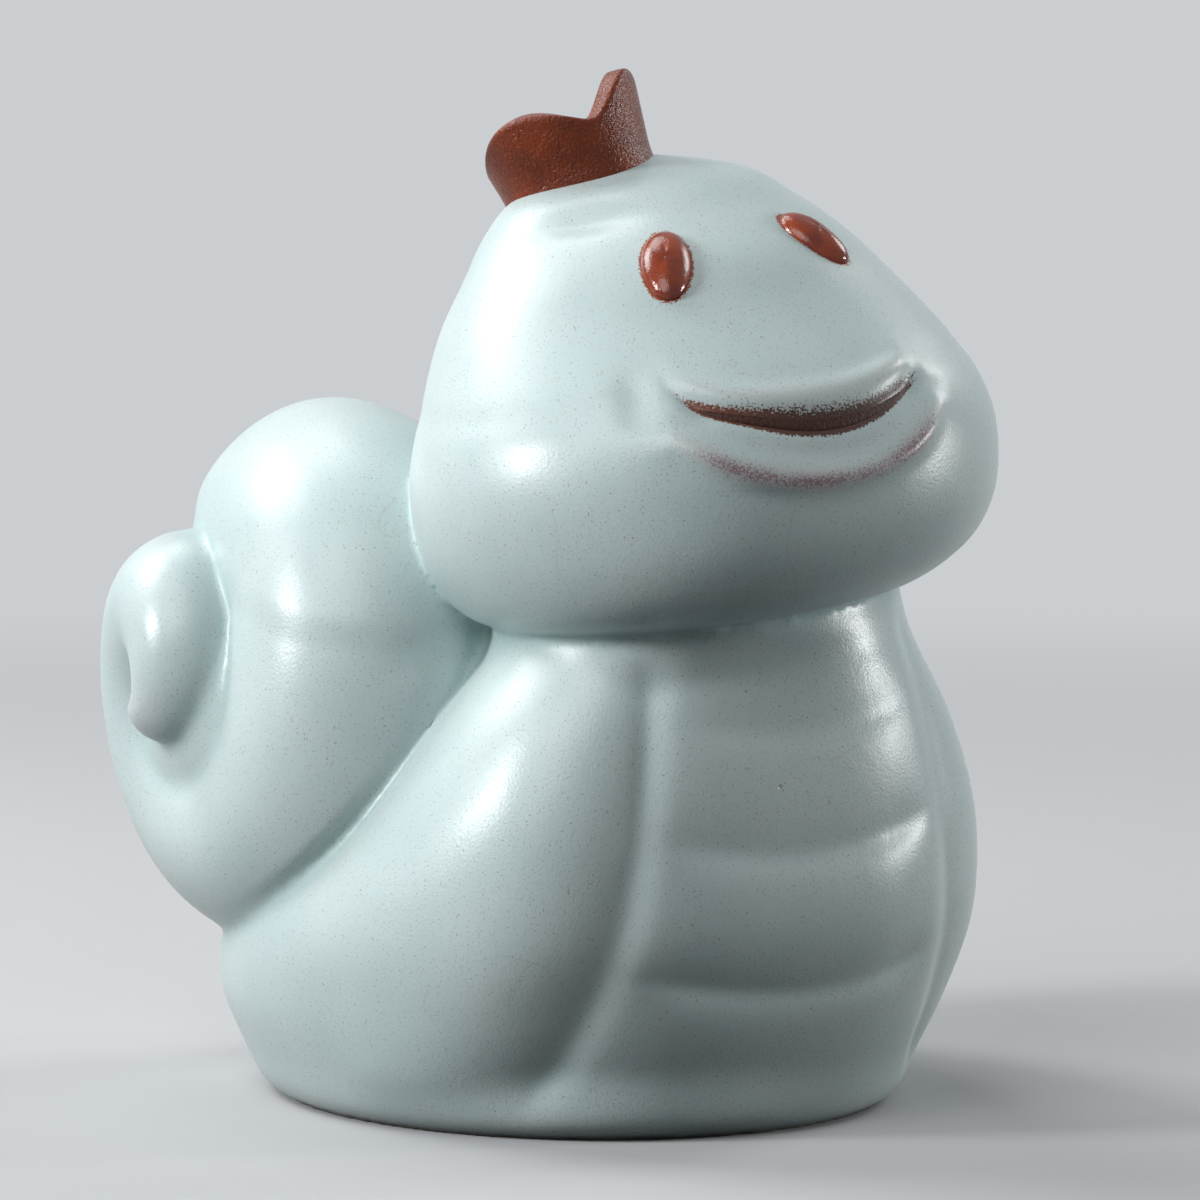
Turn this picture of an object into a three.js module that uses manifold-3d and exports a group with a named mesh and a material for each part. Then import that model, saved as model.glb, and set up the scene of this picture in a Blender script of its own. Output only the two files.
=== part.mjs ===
// A glazed ceramic snake with its tail coiled on its back and a small clay crown.
// Millimetres, +Z up, standing on Z = 0. The snake looks along -Y, and its right side is -X.
import * as THREE from 'three';
import { mergeVertices } from 'three/addons/utils/BufferGeometryUtils.js';
import Module from 'manifold-3d';

const wasm = await Module();
wasm.setup();

// Body, hollow, with a drain hole in its flat foot
const BODY_HEIGHT = 44;
const BODY_WIDTH = 55.6;
const BODY_FRONT = 30.2;
const BODY_BACK = 32.4;
const WALL = 3.5;
const DRAIN_RADIUS = 11;
const NECK_BORE_RADIUS = 8.5;
const NECK_BORE_REACH = 11;

// Belly panel between two ridges
const BELLY_HALF_WIDTH_TOP = 10.5;
const BELLY_HALF_WIDTH_FOOT = 17.3;
const BELLY_RIDGE = 0.4;
const BELLY_RIDGE_WIDTH = 2.2;
const BELLY_STEP = 0.7;
const BELLY_FADE_HEIGHT = 6;
const SCUTE_HEIGHTS = [10.3, 21, 29.8];
const SCUTE_DEPTHS = [0.5, 0.45, 0.25];
const SCUTE_WIDTH = 1.8;
const SCUTE_RISE = 2;
const SCUTE_HALF_SPAN = 12.5;
const SCUTE_LOW_SIDE = -2;

// Head, turned and leaning to the snake's right, with its underside sunk over the neck
const HEAD_HEIGHT = 33;
const HEAD_WIDTH = 43;
const HEAD_FRONT = 21;
const HEAD_BACK = 19.5;
const HEAD_FORWARD = 15;
const HEAD_ASIDE = 1;
const HEAD_TURN = 9;
const HEAD_LEAN = 8.5;
const NECK_INSERT = 6;

// Eyes, set to both sides of the face's middle with their tops leaning together
const EYE_WIDTH = 3.6;
const EYE_LEFT_HEIGHT = 6;
const EYE_RIGHT_HEIGHT = 6.9;
const EYE_DEPTH = 2.4;
const EYE_LEVEL = 0.728;
const EYE_TURN = 7.5;
const EYE_ANGLE = 26.4;
const EYE_ROLL = 8;

// Mouth line
const MOUTH_LEVEL = 0.44;
const MOUTH_RISE = 0.085;
const MOUTH_TILT = -0.025;
const MOUTH_TURN = 1;
const MOUTH_HALF_ANGLE = 28;
const MOUTH_RADIUS = 0.9;
const MOUTH_CORNER_RADIUS = 0.32;

// Tail coil
const COIL_ASIDE = -14.6;
const COIL_INSET = 19;
const COIL_CENTRE_HEIGHT = 29;
const COIL_YAW = 10;
const COIL_PITCH = 3.4;
const COIL_RING_RADIUS = 11.8;
const COIL_TUBE_RADIUS = 11.2;
const COIL_SPIRE = 25.4;
const COIL_GROWTH = 1.96;
const COIL_START_GROWTH = 1.15;
const COIL_START = -70;
const COIL_ROOT_SHIFT = 16;
const COIL_FULL = 135;
const COIL_SLIM_START = 440;
const COIL_SLIM_END = 510;
const COIL_SLIMMING = 0.62;
const COIL_SLIM_DRAW = 0.1;
const COIL_SLIM_CLIMB = 1.5;
const COIL_END = 600;
const COIL_TIP = 70;
const COIL_BLUNTNESS = 0.004;
const COIL_LONGEST_PIECE = 150;
const COIL_CORE_RADIUS = 13;
const COIL_CORE_DEPTH = 9;
const COIL_DISC_RADIUS = 11;
const COIL_DISC_DEPTH = 8;
const COIL_DISC_CLIMB = 8.4;

// Crown
const CROWN_RADIUS = 5.75;
const CROWN_WALL = 1.9;
const CROWN_RIM_SHARE = 0.3;
const CROWN_FOOT = 3;
const CROWN_VALLEY = 2.75;
const CROWN_FLARE = 0.17;
const CROWN_PEAKS = [5, 5.8, 4.5];
const CROWN_BEARINGS = [-1.5, 98.5, 223.5];
const CROWN_HALF_WIDTHS = [58, 52, 60];
const CROWN_SHARPNESS = [0.62, 0.85, 0.8];
const CROWN_LEVEL = 0.948;
const CROWN_ANGLE = -132;

// Fit between the pieces
const CLEARANCE = 0.3;

// Fineness of the skins: steps along and steps around
const BODY_STEPS = [38, 52];
const HEAD_STEPS = [30, 40];
const HOLLOW_STEPS = [16, 20];
const ROUND_STEPS = 28;
const BEAD_STEPS = [10, 16];
const LINE_STEPS = [16, 8];
const ROLL_STEPS = [11, 20];
const CROWN_STEPS = 42;

// How far a skin's columns are drawn together at the front, where the detail is
const FRONT_CROWDING = 0.33;

const DEGREE = Math.PI / 180;
const TURN = Math.PI * 2;

// Outline rows from the lowest point up: shares of the height, back, front and half width, and how
// far the section narrows towards its back.
const BODY_ROWS = [
  [0, 0, 0, 0, 0],
  [0, -0.45, 0.42, 0.46, 0],
  [0, -0.75, 0.69, 0.75, 0],
  [0.018, -0.85, 0.775, 0.84, 0],
  [0.08, -0.92, 0.84, 0.89, 0],
  [0.2, -1, 0.935, 0.95, 0],
  [0.34, -0.93, 1, 1, 0.1],
  [0.5, -0.66, 1, 0.985, 0.3],
  [0.66, -0.38, 0.98, 0.86, 0.4],
  [0.8, -0.17, 0.945, 0.695, 0.4],
  [0.9, -0.08, 0.89, 0.605, 0.25],
  [0.96, -0.06, 0.85, 0.565, 0.2],
  [1, 0.42, 0.42, 0, 0],
];
const HEAD_ROWS = [
  [0, 0, 0, 0, 0],
  [0.006, -0.58, 0.6, 0.62, 0],
  [0.055, -0.83, 0.84, 0.85, 0],
  [0.167, -0.99, 0.97, 0.965, 0],
  [0.32, -1, 1, 1, 0],
  [0.445, -0.98, 0.965, 0.97, 0],
  [0.525, -0.95, 0.87, 0.9, 0],
  [0.664, -0.89, 0.635, 0.78, 0],
  [0.776, -0.79, 0.455, 0.655, 0],
  [0.867, -0.74, 0.24, 0.53, 0],
  [0.94, -0.6, 0.03, 0.38, 0],
  [1, -0.32, -0.32, 0, 0],
];

// A closed skin over a row of rings. A first or last ring of one point is a pole.
function loft(rings) {
  const starts = [];
  let count = 0;
  for (const ring of rings) {
    starts.push(count);
    count += ring.length;
  }
  const index = [];
  for (let i = 0; i + 1 < rings.length; i += 1) {
    const low = rings[i].length;
    const high = rings[i + 1].length;
    const around = Math.max(low, high);
    for (let j = 0; j < around; j += 1) {
      const a = starts[i] + j % low;
      const b = starts[i] + (j + 1) % low;
      const c = starts[i + 1] + (j + 1) % high;
      const d = starts[i + 1] + j % high;
      if (low > 1) index.push(a, b, c);
      if (high > 1) index.push(a, c, d);
    }
  }
  const geometry = new THREE.BufferGeometry().setFromPoints(rings.flat());
  geometry.setIndex(index);
  return geometry;
}

// Moves each point of a skin along its normal by the distance that is worked out for that point.
function displace(geometry, distanceAt) {
  geometry.computeVertexNormals();
  const position = geometry.attributes.position;
  const normal = geometry.attributes.normal;
  const point = new THREE.Vector3();
  const outward = new THREE.Vector3();
  for (let i = 0; i < position.count; i += 1) {
    point.fromBufferAttribute(position, i);
    outward.fromBufferAttribute(normal, i);
    point.addScaledVector(outward, distanceAt(point));
    position.setXYZ(i, point.x, point.y, point.z);
  }
  return geometry;
}

function solidOf(geometry) {
  const bare = geometry.clone();
  bare.deleteAttribute('normal');
  bare.deleteAttribute('uv');
  const merged = mergeVertices(bare, 1e-4);
  return new wasm.Manifold(new wasm.Mesh({
    numProp: 3,
    vertProperties: merged.attributes.position.array,
    triVerts: new Uint32Array(merged.index.array),
  }));
}

function geometryOf(solid) {
  const { vertProperties, triVerts } = solid.getMesh();
  const geometry = new THREE.BufferGeometry();
  geometry.setAttribute('position', new THREE.BufferAttribute(vertProperties, 3));
  geometry.setIndex(new THREE.BufferAttribute(triVerts, 1));
  return geometry;
}

// A closed form of stacked level sections. Level runs from 0 at the lowest row to 1 at the highest.
// Angle 0 is the front, and positive angles turn towards the snake's left.
class StackedForm {
  constructor(rows, size) {
    this.rows = rows;
    this.last = rows.length - 1;
    this.size = size;
    this.curve = new THREE.CubicInterpolant(rows.map((_, i) => i), rows.flat(), rows[0].length);
  }

  point(level, angle) {
    const { height, width, front, back } = this.size;
    const [rise, rearShare, foreShare, side, narrowing] = this.curve.evaluate(level * this.last);
    const rear = rearShare * (rearShare < 0 ? back : front);
    const fore = foreShare * (foreShare < 0 ? back : front);
    return new THREE.Vector3(
      side * width / 2 * Math.sin(angle) * (1 - narrowing * (1 - Math.cos(angle)) / 2),
      -(fore + rear) / 2 - (fore - rear) / 2 * Math.cos(angle),
      Math.max(0, rise) * height,
    );
  }

  // Axes on the surface: X along its level line, Y up its slope and Z out of it.
  seat(level, angle) {
    const step = 0.01;
    const centre = this.point(level, angle);
    const along = this.point(level, angle + step).sub(this.point(level, angle - step)).normalize();
    const rise = this.point(level + step, angle).sub(this.point(level - step, angle));
    const outward = along.clone().cross(rise).normalize();
    const up = outward.clone().cross(along);
    return new THREE.Matrix4().makeBasis(along, up, outward).setPosition(centre);
  }

  // The skin, with its columns closest together at the front.
  skin([levels, around]) {
    const rings = [[this.point(0, 0)]];
    for (let i = 1; i < levels; i += 1) {
      const ring = [];
      for (let j = 0; j < around; j += 1) {
        const turned = j / around * TURN;
        ring.push(this.point(i / levels, turned - FRONT_CROWDING * Math.sin(turned)));
      }
      rings.push(ring);
    }
    rings.push([this.point(1, 0)]);
    return loft(rings);
  }

  // The same form made smaller by a wall's thickness on every side.
  within(wall) {
    const { height, width, front, back } = this.size;
    return new StackedForm(this.rows, {
      height: height - 2 * wall,
      width: width - 2 * wall,
      front: front - wall,
      back: back - wall,
    });
  }
}

// Relief of the belly: a ridge down each side, with grooves across the panel between them.
function bellyRelief(point) {
  if (point.y > 0) return 0;
  const edge = THREE.MathUtils.lerp(BELLY_HALF_WIDTH_FOOT, BELLY_HALF_WIDTH_TOP, point.z / BODY_HEIGHT);
  const outside = (Math.abs(point.x) - edge) / BELLY_RIDGE_WIDTH;
  const panel = THREE.MathUtils.smoothstep(-outside, -0.5, 1);
  const across = (point.x - SCUTE_LOW_SIDE) / SCUTE_HALF_SPAN;
  let relief = BELLY_RIDGE * Math.exp(-outside * outside) - BELLY_STEP * panel;
  SCUTE_HEIGHTS.forEach((height, i) => {
    const away = (point.z - height - SCUTE_RISE * across * across) / SCUTE_WIDTH;
    relief -= SCUTE_DEPTHS[i] * panel * Math.exp(-away * away);
  });
  return relief * THREE.MathUtils.smoothstep(point.z, 0, BELLY_FADE_HEIGHT);
}

const bodyForm = new StackedForm(BODY_ROWS, {
  height: BODY_HEIGHT, width: BODY_WIDTH, front: BODY_FRONT, back: BODY_BACK,
});
const headForm = new StackedForm(HEAD_ROWS, {
  height: HEAD_HEIGHT, width: HEAD_WIDTH, front: HEAD_FRONT, back: HEAD_BACK,
});
const headBase = BODY_HEIGHT - NECK_INSERT;
const headTurn = new THREE.Euler(0, -HEAD_LEAN * DEGREE, -HEAD_TURN * DEGREE, 'ZYX');
const headPlace = new THREE.Matrix4().makeRotationFromEuler(headTurn);
headPlace.setPosition(HEAD_ASIDE, -HEAD_FORWARD, headBase);

function bodySolid(grow) {
  const skin = displace(bodyForm.skin(BODY_STEPS), bellyRelief);
  return solidOf(grow ? displace(skin, () => grow) : skin);
}

function headSolid(grow) {
  const skin = headForm.skin(HEAD_STEPS);
  return solidOf((grow ? displace(skin, () => grow) : skin).applyMatrix4(headPlace));
}

// An upright round cutter
function roundCut(radius, x, y, low, high) {
  const cylinder = new THREE.CylinderGeometry(radius, radius, high - low, ROUND_STEPS);
  cylinder.rotateX(Math.PI / 2).translate(x, y, (low + high) / 2);
  return solidOf(cylinder);
}

// The passage through the neck, which joins the hollows of the body and the head.
const neckBore = roundCut(
  NECK_BORE_RADIUS, HEAD_ASIDE, -HEAD_FORWARD, BODY_HEIGHT - NECK_BORE_REACH, headBase + NECK_BORE_REACH,
);

function bodyShell() {
  const hollow = solidOf(bodyForm.within(WALL).skin(HOLLOW_STEPS).translate(0, 0, WALL));
  const drain = roundCut(DRAIN_RADIUS, 0, 0, -WALL, 2 * WALL);
  return bodySolid(0).subtract(hollow).subtract(drain).subtract(neckBore);
}

// A bead on one side of the face: 1 is the snake's left and -1 its right.
function eye(side, grow) {
  const [rows, columns] = BEAD_STEPS;
  const height = side > 0 ? EYE_LEFT_HEIGHT : EYE_RIGHT_HEIGHT;
  const bead = new THREE.SphereGeometry(1, columns, rows);
  bead.scale(EYE_WIDTH / 2 + grow, height / 2 + grow, EYE_DEPTH / 2 + grow);
  bead.rotateZ(side * EYE_ROLL * DEGREE);
  const seat = headForm.seat(EYE_LEVEL, (EYE_TURN + side * EYE_ANGLE) * DEGREE);
  return solidOf(bead.applyMatrix4(seat).applyMatrix4(headPlace));
}

// A smiling line laid along the head's surface, thin at its corners.
function mouthLine(grow) {
  const [steps, sides] = LINE_STEPS;
  const rings = [];
  const centres = [];
  for (let i = 0; i <= steps; i += 1) {
    const share = i / steps * 2 - 1;
    const level = MOUTH_LEVEL + MOUTH_RISE * share * share + MOUTH_TILT * share;
    const seat = headForm.seat(level, (MOUTH_TURN + share * MOUTH_HALF_ANGLE) * DEGREE);
    const radius = THREE.MathUtils.lerp(MOUTH_RADIUS, MOUTH_CORNER_RADIUS, share * share) + grow;
    const ring = [];
    for (let j = 0; j < sides; j += 1) {
      const turned = j / sides * TURN;
      const point = new THREE.Vector3(0, radius * Math.cos(turned), radius * Math.sin(turned));
      ring.push(point.applyMatrix4(seat));
    }
    rings.push(ring);
    centres.push(new THREE.Vector3().applyMatrix4(seat));
  }
  return solidOf(loft([[centres[0]], ...rings, [centres[steps]]]).applyMatrix4(headPlace));
}

function headShell() {
  const hollow = headForm.within(WALL).skin(HOLLOW_STEPS).translate(0, 0, WALL);
  return headSolid(0)
    .subtract(solidOf(hollow.applyMatrix4(headPlace)))
    .subtract(neckBore)
    .subtract(bodySolid(CLEARANCE))
    .subtract(eye(1, CLEARANCE))
    .subtract(eye(-1, CLEARANCE))
    .subtract(mouthLine(CLEARANCE));
}

// The tail's roll: a round section carried along a spiral that climbs its own axis.
const coilTurn = new THREE.Euler(0, COIL_PITCH * DEGREE, -COIL_YAW * DEGREE, 'ZYX');
const coilAxis = new THREE.Vector3(-1, 0, 0).applyEuler(coilTurn);
const coilBack = new THREE.Vector3(Math.sin(COIL_YAW * DEGREE), Math.cos(COIL_YAW * DEGREE), 0);
const coilUp = new THREE.Vector3(0, 0, 1);
const coilCentre = new THREE.Vector3(COIL_ASIDE, BODY_BACK - COIL_INSET, COIL_CENTRE_HEIGHT);

function coilRing(turned, around) {
  const growth = turned > COIL_FULL ? COIL_GROWTH : COIL_START_GROWTH;
  const share = growth ** ((COIL_FULL - turned) / 360);
  const left = THREE.MathUtils.clamp((COIL_END - turned) / COIL_TIP, COIL_BLUNTNESS, 1);
  const slim = THREE.MathUtils.smoothstep(turned, COIL_SLIM_START, COIL_SLIM_END);
  const radius = COIL_TUBE_RADIUS * share * (1 - COIL_SLIMMING * slim) * Math.sqrt(left * (2 - left));
  const reach = COIL_RING_RADIUS * share * (1 - COIL_SLIM_DRAW * slim);
  const root = Math.max(0, (COIL_FULL - turned) / (COIL_FULL - COIL_START));
  const spire = COIL_SPIRE * Math.max(0, 1 - share) + COIL_SLIM_CLIMB * slim;
  const climb = spire - COIL_ROOT_SHIFT * root * root;
  const outward = coilBack.clone().multiplyScalar(Math.cos(turned * DEGREE));
  outward.addScaledVector(coilUp, Math.sin(turned * DEGREE));
  const centre = coilCentre.clone();
  centre.addScaledVector(outward, reach).addScaledVector(coilAxis, climb);
  const ring = [];
  for (let j = 0; j < around; j += 1) {
    const eta = j / around * TURN;
    const point = centre.clone().addScaledVector(outward, radius * Math.cos(eta));
    ring.push(point.addScaledVector(coilAxis, radius * Math.sin(eta)));
  }
  return { centre, ring };
}

// A flattened ball that fills the middle of the coil.
function coilFilling(radius, depth, climb) {
  const [steps, around] = ROLL_STEPS;
  const centre = coilCentre.clone().addScaledVector(coilAxis, climb);
  const ball = new THREE.SphereGeometry(1, around, steps);
  ball.scale(radius, radius, depth);
  const place = new THREE.Matrix4().makeBasis(coilUp, coilBack, coilAxis).setPosition(centre);
  return solidOf(ball.applyMatrix4(place));
}

function tailCoil() {
  const total = COIL_END - COIL_START;
  const count = Math.ceil(total / COIL_LONGEST_PIECE);
  const [steps, around] = ROLL_STEPS;
  const pieces = [];
  for (let piece = 0; piece < count; piece += 1) {
    const rings = [];
    for (let i = 0; i <= steps; i += 1) {
      rings.push(coilRing(COIL_START + total * (piece + i / steps) / count, around));
    }
    const ends = [[rings[0].centre], [rings[steps].centre]];
    pieces.push(solidOf(loft([ends[0], ...rings.map((each) => each.ring), ends[1]])));
  }
  const core = coilFilling(COIL_CORE_RADIUS, COIL_CORE_DEPTH, 0);
  const disc = coilFilling(COIL_DISC_RADIUS, COIL_DISC_DEPTH, COIL_DISC_CLIMB);
  return pieces
    .reduce((whole, piece) => whole.add(piece), core.add(disc))
    .subtract(bodySolid(CLEARANCE))
    .subtract(headSolid(CLEARANCE));
}

// Height of the crown's rim above its seat at a bearing round it, in degrees.
function crownTop(bearing) {
  let top = CROWN_VALLEY;
  CROWN_PEAKS.forEach((peak, i) => {
    const away = Math.abs(THREE.MathUtils.euclideanModulo(bearing - CROWN_BEARINGS[i] + 180, 360) - 180);
    const wave = (1 + Math.cos(Math.PI * Math.min(1, away / CROWN_HALF_WIDTHS[i]))) / 2;
    top += (peak - CROWN_VALLEY) * wave ** CROWN_SHARPNESS[i];
  });
  return top;
}

// An open ring of clay with a row of rounded points, seated on the head.
function crown() {
  const inner = CROWN_RADIUS - CROWN_WALL;
  const rim = CROWN_WALL * CROWN_RIM_SHARE;
  const foot = -CROWN_FOOT;
  const rings = [];
  for (let j = 0; j < CROWN_STEPS; j += 1) {
    const turned = -j / CROWN_STEPS * TURN;
    const top = crownTop(turned / DEGREE);
    const outside = CROWN_RADIUS + CROWN_FLARE * top;
    const inside = inner + CROWN_FLARE * top;
    const profile = [
      [CROWN_RADIUS, foot], [CROWN_RADIUS, 0], [outside, top - rim], [outside - rim, top],
      [inside + rim, top], [inside, top - rim], [inner, 0], [inner, foot],
    ];
    rings.push(profile.map(([r, z]) => new THREE.Vector3(r * Math.cos(turned), r * Math.sin(turned), z)));
  }
  const band = loft([...rings, rings[0]]);
  const seat = headForm.seat(CROWN_LEVEL, CROWN_ANGLE * DEGREE);
  return solidOf(band.applyMatrix4(seat).applyMatrix4(headPlace)).subtract(headSolid(CLEARANCE));
}

const CELADON = { color: 0xb9c9c9, roughness: 0.35, metalness: 0 };
const BROWN_SLIP = { color: 0x6e2d14, roughness: 0.45, metalness: 0 };
const BROWN_BEAD = { color: 0x96400f, roughness: 0.12, metalness: 0 };

const figure = new THREE.Group();

// Adds the largest body of a solid, without the crumbs that a cut may leave beside or inside it.
function addPiece(name, solid, look) {
  const body = solid.decompose().reduce((best, each) => (each.volume() > best.volume() ? each : best));
  const mesh = new THREE.Mesh(geometryOf(body), new THREE.MeshStandardMaterial(look));
  mesh.name = name;
  figure.add(mesh);
}

addPiece('body_shell', bodyShell(), CELADON);
addPiece('head_shell', headShell(), CELADON);
addPiece('tail_coil', tailCoil(), CELADON);
addPiece('crown', crown(), BROWN_SLIP);
addPiece('eye_left', eye(1, 0), BROWN_BEAD);
addPiece('eye_right', eye(-1, 0), BROWN_BEAD);
addPiece('mouth_line', mouthLine(0), BROWN_SLIP);

// The origin lies on the ground under the middle of the whole figure.
const middle = new THREE.Box3().setFromObject(figure).getCenter(new THREE.Vector3());
figure.position.set(-middle.x, -middle.y, 0);

export default figure;
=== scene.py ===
"""Looks of the glazed snake figurine: celadon body, head and coiled tail, brown crown, eyes and mouth."""

import math

import bmesh
import bpy
import numpy as np
from mathutils import Matrix, Vector
from mathutils.bvhtree import BVHTree
from mathutils.kdtree import KDTree


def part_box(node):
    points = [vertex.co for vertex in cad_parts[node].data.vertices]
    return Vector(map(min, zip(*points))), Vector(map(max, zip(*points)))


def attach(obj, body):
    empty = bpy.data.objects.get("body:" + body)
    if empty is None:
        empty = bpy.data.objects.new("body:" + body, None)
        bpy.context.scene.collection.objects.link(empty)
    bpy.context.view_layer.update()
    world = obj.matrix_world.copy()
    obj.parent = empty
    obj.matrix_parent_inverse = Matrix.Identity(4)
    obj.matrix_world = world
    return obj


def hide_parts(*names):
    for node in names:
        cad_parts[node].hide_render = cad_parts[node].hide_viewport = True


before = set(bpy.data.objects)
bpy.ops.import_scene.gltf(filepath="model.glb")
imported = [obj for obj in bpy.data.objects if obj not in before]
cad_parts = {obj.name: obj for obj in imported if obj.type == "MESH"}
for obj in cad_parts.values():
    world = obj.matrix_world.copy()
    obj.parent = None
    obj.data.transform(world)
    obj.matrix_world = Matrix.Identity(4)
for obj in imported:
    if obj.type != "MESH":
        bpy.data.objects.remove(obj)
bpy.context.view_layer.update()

MM = 0.001

# Sizes of the solids, in millimetres
BODY_SIZE = {"height": 44, "width": 55.6, "front": 30.2, "back": 32.4}
BODY_ROWS = [
    [0, 0, 0, 0, 0],
    [0, -0.45, 0.42, 0.46, 0],
    [0, -0.75, 0.69, 0.75, 0],
    [0.018, -0.85, 0.775, 0.84, 0],
    [0.08, -0.92, 0.84, 0.89, 0],
    [0.2, -1, 0.935, 0.95, 0],
    [0.34, -0.93, 1, 1, 0.1],
    [0.5, -0.66, 1, 0.985, 0.3],
    [0.66, -0.38, 0.98, 0.86, 0.4],
    [0.8, -0.17, 0.945, 0.695, 0.4],
    [0.9, -0.08, 0.89, 0.605, 0.25],
    [0.96, -0.06, 0.85, 0.565, 0.2],
    [1, 0.42, 0.42, 0, 0],
]
HEAD_SIZE = {"height": 33, "width": 43, "front": 21, "back": 19.5}
HEAD_ROWS = [
    [0, 0, 0, 0, 0],
    [0.006, -0.58, 0.6, 0.62, 0],
    [0.055, -0.83, 0.84, 0.85, 0],
    [0.167, -0.99, 0.97, 0.965, 0],
    [0.32, -1, 1, 1, 0],
    [0.445, -0.98, 0.965, 0.97, 0],
    [0.525, -0.95, 0.87, 0.9, 0],
    [0.664, -0.89, 0.635, 0.78, 0],
    [0.776, -0.79, 0.455, 0.655, 0],
    [0.867, -0.74, 0.24, 0.53, 0],
    [0.94, -0.6, 0.03, 0.38, 0],
    [1, -0.32, -0.32, 0, 0],
]
WALL = 3.5
DRAIN_RADIUS = 11
NECK_BORE_RADIUS = 8.5
HEAD_SPOT = np.array([1, -15, 38])
HEAD_TURN = math.radians(9)
HEAD_LEAN = math.radians(8.5)

EYE_WIDTH = 3.6
EYE_HEIGHT = {1: 6, -1: 6.9}
EYE_DEPTH = 2.4
EYE_LEVEL = 0.728
EYE_TURN = math.radians(7.5)
EYE_ANGLE = math.radians(26.4)
EYE_ROLL = math.radians(8)

MOUTH_LEVEL = 0.44
MOUTH_RISE = 0.085
MOUTH_TILT = -0.025
MOUTH_TURN = math.radians(1)
MOUTH_HALF_ANGLE = math.radians(28)

COIL_CENTRE = np.array([-14.6, 13.4, 29])
COIL_YAW = math.radians(10)
COIL_PITCH = math.radians(3.4)
COIL_RING_RADIUS = 11.8
COIL_TUBE_RADIUS = 11.2
COIL_SPIRE = 25.4
COIL_GROWTH = 1.96
COIL_START_GROWTH = 1.15
COIL_START = -70
COIL_ROOT_SHIFT = 16
COIL_FULL = 135
COIL_TIP = 70
COIL_CORE_RADIUS = 13
COIL_CORE_DEPTH = 9
COIL_DISC_RADIUS = 11

# Last turn of the coil, drawn into a tongue here and plainer in the solid
COIL_SLIM_START = 440
COIL_SLIM_END = 600
COIL_SLIMMING = 0.36
COIL_SLIM_DRAW = 0.75
COIL_END = 622
COIL_DISC_DEPTH = 7.2
COIL_DISC_CLIMB = 7.7

# Sag of the coil beside the body
COIL_SAG_PLACE = (-25, -1.8, 20)
COIL_SAG_REACH = 8
COIL_SAG = 0.45

# Crown of the solid
CROWN_RADIUS = 5.75
CROWN_WALL = 1.8
CROWN_FOOT = 3
CROWN_VALLEY = 2.75
CROWN_FLARE = 0.17
CROWN_PEAKS = (5, 5.8, 4.5)
CROWN_BEARINGS = (-1.5, 98.5, 223.5)
CROWN_HALF_WIDTHS = (58, 52, 60)
CROWN_SHARPNESS = (0.62, 0.85, 0.8)
CROWN_LEVEL = 0.948
CROWN_ANGLE = math.radians(-132)
CROWN_SEAT_DEPTH = 0.35
CROWN_EDGE = 0.5
CROWN_EDGE_ANGLE = math.radians(50)

# Relief of the belly, deeper here than on the solid
BELLY_HALF_FOOT = 17.3
BELLY_HALF_TOP = 10.5
BELLY_RIDGE = 0.6
BELLY_STEP = 1.6
BELLY_LIFT = 0.35
FLANK_ROLL = 2.8
SCUTE_HEIGHTS = (10.3, 21, 29.8)
SCUTE_DEPTHS = (0.8, 0.7, 0.35)
SCUTE_RISE = 2
SCUTE_ABOVE = 2.8
SCUTE_BELOW = 1.2
SCUTE_HALF_SPAN = 12.5
SCUTE_LOW_SIDE = -2

# Relief of the face: levels are shares of the head, angles are in degrees
UPPER_LIP_PROUD = 0.14
UPPER_LIP_CORNER = 0.26
MOUTH_GROOVE_DEPTH = 0.7
LOWER_LIP_DROP = 4.55
LOWER_LIP_SLANT = 0.65
LOWER_LIP_PROUD = 0.5
LIP_HOLLOW_DEPTH = 0.42
MOUTH_DIMPLE_DEPTH = 0.35
MOUTH_ROLL_RADIUS = 0.55
MOUTH_ROLL_TAPER = 0.6
MOUTH_ROLL_FLATNESS = 0.5
MOUTH_ROLL_DEPTH = 0.6
JAW_LEVEL = 0.17
JAW_ANGLE = 62
JAW_SPREAD = 36
JAW_HEIGHT = 4
JAW_DRAW = 0.5
BROW_LEVEL = 0.835
BROW_ANGLE = -42
BROW_SPREAD = 19
BROW_HEIGHT = 1.6
BROW_DEPTH = 0.45
CHEEK_LEVEL = 0.47
CHEEK_ANGLES = (32, 50)
CHEEK_HEIGHT = 3.5
CHEEK_DEPTH = 0.28

# Grain of the clay skin and the wiping that softens it and its creases
SKIN_GRAIN = 0.33
SKIN_PASSES = 25
WIPE_PASSES = 132
CREASE_PASSES = 215
HEAD_SOFTNESS = 0.8
HEAD_SWELL = 0.25
SEAM_REACH = 1.5
SEAM_DEPTH = 2.2
SEAM_GRAIN = 0.6
FOOT_LEVELLING = 0.2

# Places where a crease stays crisp, each with its reach
CRISP_PLACES = (
    ((-29.5, 17.3, 31), 2.2),
    ((-29.5, 17.2, 28), 2.2),
    ((-22, 20, 14.5), 5),
)

# Places where a crease is filled and wiped once more, each with its reach
FILLED_PLACES = (
    ((-26, 15, 42.5), 7.5),
    ((-26.6, 11.5, 40.8), 6.5),
    ((-26.8, 8.5, 38), 5),
)
FILLED_PASSES = 826

body_low, body_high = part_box("body_shell")
AXIS = np.array([
    (body_low.x + body_high.x) / 2 / MM,
    body_high.y / MM - BODY_SIZE["back"],
    0,
])


# Forms

def hump(value, middle, width):
    return np.exp(-((value - middle) / width) ** 2)


def ramp(value, low, high):
    t = np.clip((value - low) / (high - low), 0, 1)
    return t * t * (3 - 2 * t)


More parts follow.
